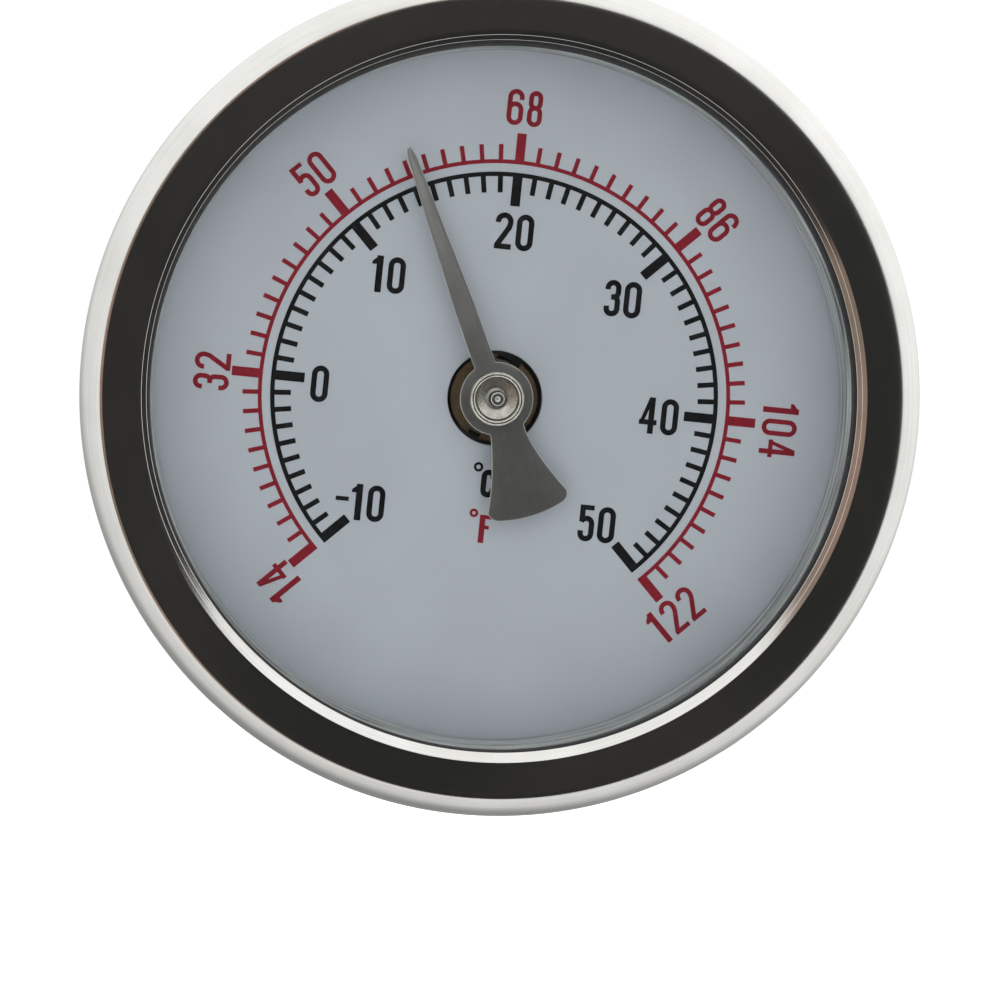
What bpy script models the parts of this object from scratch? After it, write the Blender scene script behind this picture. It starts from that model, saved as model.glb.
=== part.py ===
"""Dial thermometer with a back entry: 63 mm head, bimetal coil in the stem, -10 to 50 degrees Celsius.

Units are metres. The stem's axis is the Y axis: the dial faces -Y and the stem points to +Y.
The origin lies on that axis, in the plane of the shoulder behind the connector's hexagon.
A profile is a list of (radius, station) points, where the station is the place along Y.
"""

import math

import bmesh
import bpy
from mathutils import Matrix

# Fits
SEAT_GAP = 0.0003  # between pieces that rest on each other
FIXED_GAP = 0.0001  # radial, between pieces pressed, screwed or welded together
RUNNING_GAP = 0.00005  # radial, between the shaft and its guides
MERGE_DISTANCE = 1e-7
SMOOTH_ANGLE = 35.0  # between faces that are shaded as one surface

# Number of flats that stand for a full circle
HEAD_SEGMENTS = 56
THREAD_SEGMENTS = 32
STEM_SEGMENTS = 24
SHAFT_SEGMENTS = 16
COIL_SEGMENTS = 16

# Scale and pointer angle, clockwise from the top as seen from the front
SCALE_LOW, SCALE_HIGH = -10.0, 50.0
SCALE_SWEEP = 270.0
READING = 14.4

# Connector: hexagon, spigot through the case, and 1/2 inch taper thread
HEX_FLATS = 0.027
HEX_LENGTH = 0.007
HEX_CHAMFER = 0.0006
SPIGOT_RADIUS = 0.006
SPIGOT_FRONT = -0.015
SPIGOT_CHAMFER = 0.0005
THREAD_PITCH = 0.001814
THREAD_DEPTH = 0.00138
THREAD_LENGTH = 0.018
THREAD_END_RADIUS = 0.01033
THREAD_RISE = 1 / 32  # radius gained for each metre back towards the hexagon
THREAD_NECK = 0.0006

# Joint between the connector and the case
SEAL_THICKNESS = 0.001
SEAL_RADIUS = 0.0095
LOCK_THICKNESS = 0.0008
LOCK_RADIUS = 0.0092
NUT_FLATS = 0.019
NUT_THICKNESS = 0.0035

# Case: a pressed cup with a ledge for the dial and a flange for the bezel
CASE_SHEET = 0.0007
POT_RADIUS = 0.0273
POT_DEPTH = 0.0126
POT_CORNER = 0.0025
SEAT_RADIUS = 0.0293
SEAT_DEPTH = 0.0041
FLANGE_RADIUS = 0.0305

# Dial and the stack in front of it
DIAL_RADIUS = 0.0282
DIAL_SHEET = 0.0005
DIAL_HOLE_RADIUS = 0.00363
SPACER_RADIUS = 0.0263
SPACER_WIDTH = 0.0019
CASE_GASKET_RADIUS = 0.02875
CASE_GASKET_WIDTH = 0.0015
CASE_GASKET_THICKNESS = 0.0009
GLASS_RADIUS = 0.0301
GLASS_THICKNESS = 0.0018
LENS_GASKET_RADIUS = 0.02645
LENS_GASKET_WIDTH = 0.0031
LENS_GASKET_THICKNESS = 0.0005

# Bezel: a rolled ring, its lip in front and its crimp behind the case's flange
BEZEL_SHEET = 0.0005
BEZEL_RADIUS = 0.0315
LIP_RADIUS = 0.0266
SHOULDER_RADIUS = 0.0019
CRIMP_CORNER = 0.0008
CRIMP_INNER_RADIUS = 0.02975

# Stem
STEM_RADIUS = 0.003
STEM_BORE_RADIUS = 0.0025
STEM_TIP = 0.068
TIP_LENGTH = 0.002
TIP_CHAMFER = 0.0006
TIP_SPIGOT = 0.0035

# Guides for the shaft
GUIDE_FLANGE_RADIUS = 0.0034
GUIDE_FLANGE_THICKNESS = 0.0006
GUIDE_LENGTH = 0.0043
GUIDE_NOTCH = 0.001
GUIDE_NOTCH_ANGLE = 23.0
LOWER_GUIDE = (0.021, 0.025)

# Shaft and what is fixed to it
SHAFT_RADIUS = 0.00055
SHAFT_FRONT = -0.0259
SHAFT_REAR = 0.0353
COLLAR_RADIUS = 0.0012
COLLAR_LENGTH = 0.0015
COLLAR_PLAY = 0.0006
BUSH_FLANGE_RADIUS = 0.00205
BUSH_FLANGE_THICKNESS = 0.0005
BUSH_BARREL_RADIUS = 0.0014
BUSH_BARREL_LENGTH = 0.0017
BUSH_RECESS_RADIUS = 0.0016
BUSH_RECESS_DEPTH = 0.0002

# Coil
COIL_RADIUS = 0.0021
COIL_STRIP = (0.00025, 0.0018)  # thickness across the radius, width along the stem
COIL_PITCH = 0.0025
COIL_TURNS = 10.5
COIL_FRONT = 0.0314
COIL_SEAT_RADIUS = 0.0016
COIL_SEAT_LENGTH = 0.004
ANCHOR_REAR = 0.062
ANCHOR_HEAD = 0.0025

# Pointer, measured from its pivot
POINTER_SHEET = 0.0003
POINTER_HEIGHT = 0.0017  # of its rear face above the dial
HUB_RADIUS = 0.0028
TIP_REACH = 0.0201
TIP_HALF_WIDTH = 0.00003
POINT_REACH = 0.0191
POINT_HALF_WIDTH = 0.00032
ARM_REACH = 0.00725
ARM_HALF_WIDTH = 0.00083
TAIL_REACH = 0.00915
TAIL_NECK_HALF_WIDTH = 0.00134
TAIL_HALF_WIDTH = 0.0031
TAIL_CORNER = 0.0006
TAIL_FLARE = 1.5  # power by which the tail widens

# Stations of the stack, worked out from the hexagon forwards
SEAL_REAR = -HEX_LENGTH - SEAT_GAP
CASE_BACK = SEAL_REAR - SEAL_THICKNESS - SEAT_GAP
CASE_FLOOR = CASE_BACK - CASE_SHEET
LOCK_REAR = CASE_FLOOR - SEAT_GAP
NUT_REAR = LOCK_REAR - LOCK_THICKNESS - SEAT_GAP
LEDGE_FRONT = CASE_FLOOR - POT_DEPTH
FLANGE_FRONT = LEDGE_FRONT - SEAT_DEPTH
DIAL_REAR = LEDGE_FRONT - SEAT_GAP
DIAL_FACE = DIAL_REAR - DIAL_SHEET
CASE_GASKET_REAR = FLANGE_FRONT - SEAT_GAP
GLASS_REAR = CASE_GASKET_REAR - CASE_GASKET_THICKNESS - SEAT_GAP
LENS_GASKET_REAR = GLASS_REAR - GLASS_THICKNESS - SEAT_GAP
LIP_REAR = LENS_GASKET_REAR - LENS_GASKET_THICKNESS - SEAT_GAP
BEZEL_FRONT = LIP_REAR - BEZEL_SHEET
CRIMP_FRONT = FLANGE_FRONT + CASE_SHEET + SEAT_GAP
GUIDE_FRONT = LEDGE_FRONT
STEM_FRONT = GUIDE_FRONT + GUIDE_FLANGE_THICKNESS + SEAT_GAP
POINTER_REAR = DIAL_FACE - POINTER_HEIGHT

# Base colour, roughness and metallic value of each finish
FINISHES = {
    "polished_steel": ((0.78, 0.77, 0.75), 0.18, 1.0),
    "case_steel": ((0.62, 0.62, 0.61), 0.35, 1.0),
    "stem_steel": ((0.60, 0.60, 0.59), 0.30, 1.0),
    "zinc_steel": ((0.55, 0.55, 0.53), 0.40, 1.0),
    "spring_steel": ((0.30, 0.30, 0.31), 0.45, 1.0),
    "pointer_metal": ((0.20, 0.195, 0.18), 0.38, 1.0),
    "bush_metal": ((0.50, 0.47, 0.43), 0.28, 1.0),
    "brass": ((0.62, 0.44, 0.22), 0.32, 1.0),
    "bimetal": ((0.55, 0.50, 0.42), 0.40, 1.0),
    "black_rubber": ((0.02, 0.02, 0.02), 0.75, 0.0),
    "grey_fibre": ((0.35, 0.36, 0.36), 0.80, 0.0),
    "spacer_plastic": ((0.70, 0.72, 0.71), 0.45, 0.0),
    "dial_paint": ((0.66, 0.72, 0.77), 0.40, 0.0),
    "window_glass": ((0.90, 0.95, 0.94), 0.03, 0.0),
}


def clear_scene():
    for obj in list(bpy.data.objects):
        bpy.data.objects.remove(obj, do_unlink=True)


def material(finish):
    """The finish's material, made the first time that it is asked for."""
    if finish in bpy.data.materials:
        return bpy.data.materials[finish]
    colour, roughness, metallic = FINISHES[finish]
    made = bpy.data.materials.new(finish)
    made.use_nodes = True
    shader = made.node_tree.nodes["Principled BSDF"]
    shader.inputs["Base Color"].default_value = (*colour, 1.0)
    shader.inputs["Roughness"].default_value = roughness
    shader.inputs["Metallic"].default_value = metallic
    if finish == "window_glass":
        shader.inputs["Transmission Weight"].default_value = 1.0
        shader.inputs["IOR"].default_value = 1.5
    return made


def shade(mesh):
    """Smooth shading, with the edges between the turned, flat and cut faces kept sharp."""
    mesh.shade_smooth()
    mesh.set_sharp_from_angle(angle=math.radians(SMOOTH_ANGLE))


def add_object(name, shape, finish):
    """Turn a bmesh into an object of the scene."""
    bmesh.ops.recalc_face_normals(shape, faces=shape.faces)
    mesh = bpy.data.meshes.new(name)
    shape.to_mesh(mesh)
    shape.free()
    shade(mesh)
    mesh.materials.append(material(finish))
    obj = bpy.data.objects.new(name, mesh)
    bpy.context.scene.collection.objects.link(obj)
    return obj


def turned(name, profile, segments, finish):
    """Spin a profile once about the Y axis. A profile whose ends are on the axis stays open there."""
    shape = bmesh.new()
    points = [shape.verts.new((radius, station, 0.0)) for radius, station in profile]
    pairs = list(zip(points, points[1:]))
    if profile[0][0] > 0:
        pairs.append((points[-1], points[0]))
    edges = [shape.edges.new(pair) for pair in pairs]
    bmesh.ops.spin(
        shape, geom=points + edges, cent=(0, 0, 0), axis=(0, 1, 0),
        angle=math.tau, steps=segments, use_merge=True,
    )
    bmesh.ops.remove_doubles(shape, verts=shape.verts, dist=MERGE_DISTANCE)
    return add_object(name, shape, finish)


def ring_profile(inner, outer, front, rear):
    return [(inner, front), (outer, front), (outer, rear), (inner, rear)]


def rod_profile(radius, front, rear, chamfer=0.0):
    """A rod's profile from axis to axis, with an optional chamfer at both ends."""
    if not chamfer:
        return [(0.0, front), (radius, front), (radius, rear), (0.0, rear)]
    return [
        (0.0, front), (radius - chamfer, front), (radius, front + chamfer),
        (radius, rear - chamfer), (radius - chamfer, rear), (0.0, rear),
    ]


def arc(centre, radius, start, end, steps):
    """Points along an arc in the profile's plane, angles in degrees from +radius towards +Y."""
    angles = [math.radians(start + (end - start) * step / steps) for step in range(steps + 1)]
    return [(centre[0] + radius * math.cos(a), centre[1] + radius * math.sin(a)) for a in angles]


def combine(obj, operation, tool):
    """Apply a Boolean with a tool object, and remove the tool."""
    modifier = obj.modifiers.new(operation.lower(), "BOOLEAN")
    modifier.operation = operation
    modifier.solver = "EXACT"
    modifier.object = tool
    graph = bpy.context.evaluated_depsgraph_get()
    mesh = bpy.data.meshes.new_from_object(obj.evaluated_get(graph))
    obj.modifiers.clear()
    obj.data = mesh
    shade(mesh)
    bpy.data.objects.remove(tool, do_unlink=True)


def hexagon(name, flats, front, rear, chamfer, bore, finish):
    """A hexagonal nut blank along Y, with its corners chamfered at both ends and a bore."""
    shape = bmesh.new()
    corner = flats / 2 / math.cos(math.pi / 6)
    turn = Matrix.Translation((0, (front + rear) / 2, 0)) @ Matrix.Rotation(math.pi / 2, 4, "X")
    bmesh.ops.create_cone(
        shape, cap_ends=True, segments=6, radius1=corner, radius2=corner,
        depth=rear - front, matrix=turn,
    )
    blank = add_object(name, shape, finish)
    outer = corner + SEAT_GAP
    edge = rod_profile(outer, front - chamfer / 2, rear + chamfer / 2, outer - corner + 2 * chamfer)
    combine(blank, "INTERSECT", turned(name + "_chamfer", edge, STEM_SEGMENTS, finish))
    if bore:
        hole = rod_profile(bore, front - HEX_CHAMFER, rear + HEX_CHAMFER)
        combine(blank, "DIFFERENCE", turned(name + "_bore", hole, STEM_SEGMENTS, finish))
    return blank


def case_profile():
    """The pressed cup: floor, pot, ledge under the dial, seat and flange, then back inside."""
    hub = SPIGOT_RADIUS + SEAT_GAP
    corner = (POT_RADIUS - POT_CORNER, CASE_BACK - POT_CORNER)
    inside = POT_CORNER - CASE_SHEET
    return (
        [(hub, CASE_BACK)]
        + arc(corner, POT_CORNER, 90, 0, 4)
        + [
            (POT_RADIUS, LEDGE_FRONT + CASE_SHEET),
            (SEAT_RADIUS, LEDGE_FRONT + CASE_SHEET),
            (SEAT_RADIUS, FLANGE_FRONT + CASE_SHEET),
            (FLANGE_RADIUS, FLANGE_FRONT + CASE_SHEET),
            (FLANGE_RADIUS, FLANGE_FRONT),
            (SEAT_RADIUS - CASE_SHEET, FLANGE_FRONT),
            (SEAT_RADIUS - CASE_SHEET, LEDGE_FRONT),
            (POT_RADIUS - CASE_SHEET, LEDGE_FRONT),
        ]
        + arc(corner, inside, 0, 90, 4)
        + [(hub, CASE_FLOOR)]
    )


def bezel_profile():
    """The rolled ring: lip, flat face, round shoulder, wall and crimp, then back inside."""
    nose = BEZEL_SHEET / 2
    shoulder = (BEZEL_RADIUS - SHOULDER_RADIUS, BEZEL_FRONT + SHOULDER_RADIUS)
    crimp = (BEZEL_RADIUS - CRIMP_CORNER, CRIMP_FRONT + BEZEL_SHEET - CRIMP_CORNER)
    return (
        arc((LIP_RADIUS + nose, BEZEL_FRONT + nose), nose, 90, 270, 4)
        + arc(shoulder, SHOULDER_RADIUS, -90, 0, 4)
        + arc(crimp, CRIMP_CORNER, 0, 90, 2)
        + [(CRIMP_INNER_RADIUS, CRIMP_FRONT + BEZEL_SHEET), (CRIMP_INNER_RADIUS, CRIMP_FRONT)]
        + arc(crimp, CRIMP_CORNER - BEZEL_SHEET, 90, 0, 1)
        + arc(shoulder, SHOULDER_RADIUS - BEZEL_SHEET, 0, -90, 4)
    )


def thread_profile():
    """The connector's core: spigot, neck as wide as the widest crest, then taper thread as V grooves."""
    rings = int(THREAD_LENGTH / THREAD_PITCH)
    points = rod_profile(SPIGOT_RADIUS, SPIGOT_FRONT, -HEX_LENGTH / 2, SPIGOT_CHAMFER)[:3]
    points += [(SPIGOT_RADIUS, -HEX_LENGTH / 2)]

    def crest(station):
        return THREAD_END_RADIUS + (THREAD_LENGTH - station) * THREAD_RISE

    neck = crest(0.0)
    points += [(neck, -HEX_LENGTH / 2), (neck, THREAD_NECK)]
    for ring in range(rings):
        root = THREAD_NECK + (ring + 0.5) * THREAD_PITCH
        top = root + THREAD_PITCH / 2
        points += [(crest(root) - THREAD_DEPTH, root), (crest(top), top)]
    end = crest(THREAD_LENGTH) - THREAD_DEPTH
    return points + [(end, THREAD_LENGTH), (0.0, THREAD_LENGTH)]


def pointer_outline():
    """Right half of the pointer as (across, along) points, from its tip to the end of its tail."""
    arm_angle = math.degrees(math.asin(ARM_HALF_WIDTH / HUB_RADIUS))
    neck_angle = 180 - math.degrees(math.asin(TAIL_NECK_HALF_WIDTH / HUB_RADIUS))
    corner_reach = TAIL_REACH - TAIL_CORNER
    corner_across = TAIL_HALF_WIDTH - TAIL_CORNER
    corner_angle = math.asin(corner_across / corner_reach)
    corner = (corner_across, -corner_reach * math.cos(corner_angle))
    end_angle = -90 + math.degrees(corner_angle)
    neck = HUB_RADIUS * math.cos(math.radians(neck_angle))
    side = []
    for step in range(1, 6):
        along = step / 6
        across = TAIL_NECK_HALF_WIDTH + (TAIL_HALF_WIDTH - TAIL_NECK_HALF_WIDTH) * along**TAIL_FLARE
        side.append((across, neck + (corner[1] - neck) * along))
    return (
        [
            (TIP_HALF_WIDTH, TIP_REACH),
            (POINT_HALF_WIDTH, POINT_REACH),
            (ARM_HALF_WIDTH, ARM_REACH),
        ]
        + arc((0, 0), HUB_RADIUS, 90 - arm_angle, 90 - neck_angle, 6)
        + side
        + arc(corner, TAIL_CORNER, 0, end_angle, 3)
        + arc((0, 0), TAIL_REACH, end_angle, -90, 3)[1:]
    )


def make_pointer():
    """A flat pointer in the XZ plane, its pivot at the origin of its empty, pointing along +Z."""
    right = pointer_outline()
    left = [(-across, along) for across, along in reversed(right[:-1])]
    shape = bmesh.new()
    points = [shape.verts.new((across, POINTER_REAR, along)) for across, along in right + left]
    face = shape.faces.new(points)
    grown = bmesh.ops.extrude_face_region(shape, geom=[face])["geom"]
    front = [item for item in grown if isinstance(item, bmesh.types.BMVert)]
    bmesh.ops.translate(shape, verts=front, vec=(0, -POINTER_SHEET, 0))
    pointer = add_object("pointer", shape, "pointer_metal")
    hole = rod_profile(
        BUSH_BARREL_RADIUS + FIXED_GAP, POINTER_REAR - 2 * POINTER_SHEET, POINTER_REAR + POINTER_SHEET
    )
    combine(pointer, "DIFFERENCE", turned("pointer_hole", hole, SHAFT_SEGMENTS, "pointer_metal"))
    return pointer


def make_pointer_bush():
    """Brass bush: a flange with a recessed face in front of the pointer, and a barrel through it."""
    bore = SHAFT_RADIUS + FIXED_GAP
    rear = POINTER_REAR - POINTER_SHEET - SEAT_GAP
    front = rear - BUSH_FLANGE_THICKNESS
    profile = [
        (bore, front + BUSH_RECESS_DEPTH),
        (BUSH_RECESS_RADIUS, front + BUSH_RECESS_DEPTH),
        (BUSH_RECESS_RADIUS, front),
        (BUSH_FLANGE_RADIUS, front),
        (BUSH_FLANGE_RADIUS, rear),
        (BUSH_BARREL_RADIUS, rear),
        (BUSH_BARREL_RADIUS, rear + BUSH_BARREL_LENGTH),
        (bore, rear + BUSH_BARREL_LENGTH),
    ]
    return turned("pointer_bush", profile, SHAFT_SEGMENTS, "bush_metal")


def make_movement():
    """The pieces that turn, all hung on an empty that lies on the pointer's axis."""
    bore = SHAFT_RADIUS + FIXED_GAP
    collar_front = GUIDE_FRONT + GUIDE_FLANGE_THICKNESS + GUIDE_LENGTH + COLLAR_PLAY
    turning = [
        make_pointer(),
        make_pointer_bush(),
        turned(
            "pointer_shaft",
            rod_profile(SHAFT_RADIUS, SHAFT_FRONT, SHAFT_REAR, SHAFT_RADIUS / 4),
            SHAFT_SEGMENTS,
            "stem_steel",
        ),
        turned(
            "shaft_collar",
            ring_profile(bore, COLLAR_RADIUS, collar_front, collar_front + COLLAR_LENGTH),
            SHAFT_SEGMENTS,
            "brass",
        ),
        turned(
            "helix_collar",
            ring_profile(bore, COIL_SEAT_RADIUS, SHAFT_REAR - COIL_SEAT_LENGTH, SHAFT_REAR - SEAT_GAP),
            SHAFT_SEGMENTS,
            "brass",
        ),
    ]
    axis = bpy.data.objects.new("pointer_axis", None)
    bpy.context.scene.collection.objects.link(axis)
    for obj in turning:
        obj.parent = axis
    middle = (SCALE_LOW + SCALE_HIGH) / 2
    degrees_for_each = SCALE_SWEEP / (SCALE_HIGH - SCALE_LOW)
    axis.rotation_euler = (0, math.radians((READING - middle) * degrees_for_each), 0)


def make_guides():
    """The two bushes in which the shaft turns. The front one has a notched flange."""
    bore = SHAFT_RADIUS + RUNNING_GAP
    barrel = STEM_BORE_RADIUS - FIXED_GAP
    flange_rear = GUIDE_FRONT + GUIDE_FLANGE_THICKNESS
    profile = [
        (bore, GUIDE_FRONT),
        (GUIDE_FLANGE_RADIUS, GUIDE_FRONT),
        (GUIDE_FLANGE_RADIUS, flange_rear),
        (barrel, flange_rear),
        (barrel, flange_rear + GUIDE_LENGTH),
        (bore, flange_rear + GUIDE_LENGTH),
    ]
    guide = turned("upper_guide_bush", profile, STEM_SEGMENTS, "brass")
    shape = bmesh.new()
    reach = 2 * GUIDE_FLANGE_RADIUS
    place = (
        Matrix.Rotation(math.radians(GUIDE_NOTCH_ANGLE), 4, "Y")
        @ Matrix.Translation((0, GUIDE_FRONT, barrel + reach / 2))
        @ Matrix.Diagonal((GUIDE_NOTCH, 4 * GUIDE_FLANGE_THICKNESS, reach, 1))
    )
    bmesh.ops.create_cube(shape, size=1.0, matrix=place)
    bmesh.ops.create_cube(shape, size=1.0, matrix=Matrix.Rotation(math.pi, 4, "Y") @ place)
    combine(guide, "DIFFERENCE", add_object("guide_notches", shape, "brass"))
    turned("lower_guide_bush", ring_profile(bore, barrel, *LOWER_GUIDE), STEM_SEGMENTS, "brass")


def make_coil():
    """The bimetal strip, wound as a helix between the shaft's collar and the anchor."""
    thickness, width = COIL_STRIP
    shape = bmesh.new()
    inner = COIL_RADIUS - thickness
    corners = [
        (COIL_RADIUS, COIL_FRONT), (COIL_RADIUS, COIL_FRONT + width),
        (inner, COIL_FRONT + width), (inner, COIL_FRONT),
    ]
    points = [shape.verts.new((radius, station, 0.0)) for radius, station in corners]
    face = shape.faces.new(points)
    steps = int(COIL_TURNS * COIL_SEGMENTS)
    bmesh.ops.spin(
        shape, geom=points + list(face.edges) + [face], cent=(0, 0, 0), axis=(0, 1, 0),
        dvec=(0, COIL_PITCH / COIL_SEGMENTS, 0), angle=math.tau * COIL_TURNS, steps=steps,
    )
    add_object("bimetal_helix", shape, "bimetal")
    head = ANCHOR_REAR - ANCHOR_HEAD
    anchor = [
        (0.0, head - COIL_SEAT_LENGTH),
        (COIL_SEAT_RADIUS, head - COIL_SEAT_LENGTH),
        (COIL_SEAT_RADIUS, head),
        (STEM_BORE_RADIUS - FIXED_GAP, head),
        (STEM_BORE_RADIUS - FIXED_GAP, ANCHOR_REAR),
        (0.0, ANCHOR_REAR),
    ]
    turned("helix_anchor", anchor, SHAFT_SEGMENTS, "brass")


def make_stem():
    """The tube from behind the dial to the tip, and the plug that closes it."""
    tip_front = STEM_TIP - TIP_LENGTH
    tube = ring_profile(STEM_BORE_RADIUS, STEM_RADIUS, STEM_FRONT, tip_front - SEAT_GAP)
    turned("stem_tube", tube, STEM_SEGMENTS, "stem_steel")
    spigot = STEM_BORE_RADIUS - FIXED_GAP
    plug = [
        (0.0, tip_front - TIP_SPIGOT),
        (spigot, tip_front - TIP_SPIGOT),
        (spigot, tip_front),
        (STEM_RADIUS, tip_front),
        (STEM_RADIUS, STEM_TIP - TIP_CHAMFER),
        (STEM_RADIUS - TIP_CHAMFER, STEM_TIP),
        (0.0, STEM_TIP),
    ]
    turned("stem_tip_plug", plug, STEM_SEGMENTS, "stem_steel")


def make_connector():
    """Hexagon, spigot and thread in one piece, bored for the stem, with its washers and nut."""
    connector = hexagon(
        "process_connector", HEX_FLATS, -HEX_LENGTH, 0.0, HEX_CHAMFER, 0.0, "stem_steel"
    )
    core = turned("connector_core", thread_profile(), THREAD_SEGMENTS, "stem_steel")
    combine(connector, "UNION", core)
    hole = rod_profile(
        STEM_RADIUS + FIXED_GAP, SPIGOT_FRONT - SPIGOT_CHAMFER, THREAD_LENGTH + SPIGOT_CHAMFER
    )
    combine(connector, "DIFFERENCE", turned("connector_bore", hole, STEM_SEGMENTS, "stem_steel"))
    bore = SPIGOT_RADIUS + FIXED_GAP
    seal = ring_profile(bore, SEAL_RADIUS, SEAL_REAR - SEAL_THICKNESS, SEAL_REAR)
    turned("case_seal_washer", seal, THREAD_SEGMENTS, "grey_fibre")
    lock = ring_profile(bore, LOCK_RADIUS, LOCK_REAR - LOCK_THICKNESS, LOCK_REAR)
    turned("lock_washer", lock, THREAD_SEGMENTS, "spring_steel")
    hexagon(
        "connector_nut", NUT_FLATS, NUT_REAR - NUT_THICKNESS, NUT_REAR, HEX_CHAMFER, bore, "zinc_steel"
    )


def make_head():
    """The case, the dial and the stack of rings and glass that the bezel holds on it."""
    turned("case_shell", case_profile(), HEAD_SEGMENTS, "case_steel")
    turned("bezel_ring", bezel_profile(), HEAD_SEGMENTS, "polished_steel")
    dial = ring_profile(DIAL_HOLE_RADIUS, DIAL_RADIUS, DIAL_FACE, DIAL_REAR)
    turned("dial_plate", dial, HEAD_SEGMENTS, "dial_paint")
    spacer = ring_profile(
        SPACER_RADIUS, SPACER_RADIUS + SPACER_WIDTH, GLASS_REAR + SEAT_GAP, DIAL_FACE - SEAT_GAP
    )
    turned("spacer_ring", spacer, HEAD_SEGMENTS, "spacer_plastic")
    case_gasket = ring_profile(
        CASE_GASKET_RADIUS, CASE_GASKET_RADIUS + CASE_GASKET_WIDTH,
        CASE_GASKET_REAR - CASE_GASKET_THICKNESS, CASE_GASKET_REAR,
    )
    turned("case_gasket", case_gasket, HEAD_SEGMENTS, "black_rubber")
    glass = rod_profile(GLASS_RADIUS, GLASS_REAR - GLASS_THICKNESS, GLASS_REAR)
    turned("window_glass", glass, HEAD_SEGMENTS, "window_glass")
    lens_gasket = ring_profile(
        LENS_GASKET_RADIUS, LENS_GASKET_RADIUS + LENS_GASKET_WIDTH,
        LENS_GASKET_REAR - LENS_GASKET_THICKNESS, LENS_GASKET_REAR,
    )
    turned("lens_gasket", lens_gasket, HEAD_SEGMENTS, "black_rubber")


def main():
    clear_scene()
    make_head()
    make_connector()
    make_stem()
    make_guides()
    make_coil()
    make_movement()


main()
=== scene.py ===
"""Looks of the dial thermometer: fine meshes, printed dial, materials, soft white light and camera.

The stem's axis is Y and the dial faces -Y. Lengths in this script are millimetres until a mesh is made.
A profile is a list of (radius, station) or (radius, station, fillet) points, with the station along Y.
Angles on the dial are degrees clockwise from the top, as the dial is read.
"""

import itertools
import math

import bmesh
import bpy
import numpy as np
from mathutils import Matrix, Vector
from mathutils.geometry import delaunay_2d_cdt


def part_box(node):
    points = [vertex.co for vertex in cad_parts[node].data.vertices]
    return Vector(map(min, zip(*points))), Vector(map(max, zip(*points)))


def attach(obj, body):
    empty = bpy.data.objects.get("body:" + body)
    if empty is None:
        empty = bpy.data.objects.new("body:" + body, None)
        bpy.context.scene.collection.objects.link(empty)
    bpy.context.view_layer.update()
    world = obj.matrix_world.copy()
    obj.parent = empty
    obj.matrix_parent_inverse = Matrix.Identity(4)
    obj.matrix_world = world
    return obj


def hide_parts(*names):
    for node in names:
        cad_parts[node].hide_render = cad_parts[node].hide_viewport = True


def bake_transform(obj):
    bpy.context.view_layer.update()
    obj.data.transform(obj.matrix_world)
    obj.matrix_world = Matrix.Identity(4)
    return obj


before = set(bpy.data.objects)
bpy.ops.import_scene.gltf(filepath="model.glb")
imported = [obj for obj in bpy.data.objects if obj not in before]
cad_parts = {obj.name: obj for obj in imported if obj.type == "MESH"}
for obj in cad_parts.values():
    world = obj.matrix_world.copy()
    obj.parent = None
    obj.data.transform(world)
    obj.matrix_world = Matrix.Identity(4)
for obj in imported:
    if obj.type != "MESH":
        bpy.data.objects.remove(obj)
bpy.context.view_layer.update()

MM = 0.001
HEAD_STEPS, STEM_STEPS, THREAD_STEPS = 288, 96, 144  # points round the axis
ARC_STEP = 12.0  # degrees of a fillet to each of its flats
SHARP_ANGLE = 32.0
POLE = 0.02  # how near the axis an open profile starts and ends
FLAT_LEFT = 0.05  # shortest flat beside a fillet that gets a point of its own
SUPPORT = 0.3  # that point's distance from the fillet, as a share of its radius or of the flat
HEAD_PLAY = (0.20, 0.0, 0.18)  # the bezel and what it clamps sit a little off the case's axis

# Dial print
LOW, HIGH, SWEEP = -10, 50, 270.0  # degrees Celsius at the scale's ends, and its turn
DEGREES_PER_UNIT = SWEEP / (HIGH - LOW)
READING = 14.4
INK_FRONT, INK_ROOT = 0.018, 0.01  # in front of the dial's face and behind it
# A scale's arc has an inner and outer radius. A tick has the radius that it reaches, and its width
BLACK_SCALE = {"arc": (16.86, 17.20), "minor": (15.62, 0.39), "major": (14.64, 0.74)}
RED_SCALE = {"arc": (17.84, 18.14), "minor": (19.30, 0.34), "major": (20.20, 0.72)}
PRINT_SHIFT = (0.02, 0.08)  # the print isn't quite central on the sheet
RED_NUMERAL_RADIUS = 21.95
RED_NUDGES = {  # how far each red numeral sits off its place on its ray
    14: (0.5, -0.2), 32: (0.25, -0.2), 50: (0.05, -0.05), 68: (0.0, 0.2),
    86: (0.1, -0.3), 104: (0.15, -0.35), 122: (0.05, 0.2),
}
GRID = 0.1  # mm to one unit of the characters' grid
CAP, SMALL_CAP = 28.0, 21.5  # heights of the digits and of the unit letters, on the grid
BLACK_PEN, RED_PEN = 4.2, 3.65  # widths of the strokes, on the grid
DIGIT_GAP, ONE_GAP = 2.7, 4.1  # the gap after a digit, and after a 1
BLACK_NUMERALS = {  # their middles on the dial
    -10: (-9.5, -9.05), 0: (-13.45, -0.35), 10: (-9.1, 8.45), 20: (0.15, 12.7),
    30: (9.0, 8.45), 40: (12.7, -0.2), 50: (8.8, -8.95),
}

# Movement
TAIL_BEND = 2.6  # the tail isn't quite in line with the arm
COIL_START = math.tau / 4  # angle of the coil's front end, as in the CAD

# Camera
ROLL = 5.9  # how far the object is turned in the picture, clockwise
CAMERA_SIDE, CAMERA_RISE = 4.2, 1.5
CAMERA_DISTANCE = 240.0
CAMERA_LOOKS_LOW = 1.88
CAMERA_AIM = (-0.02, 0.40)  # right and up in the picture
AIM_STATION = -29.0  # the plane that the camera aims at, from which the cards' distances are taken
FOCAL = 115.4

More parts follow.
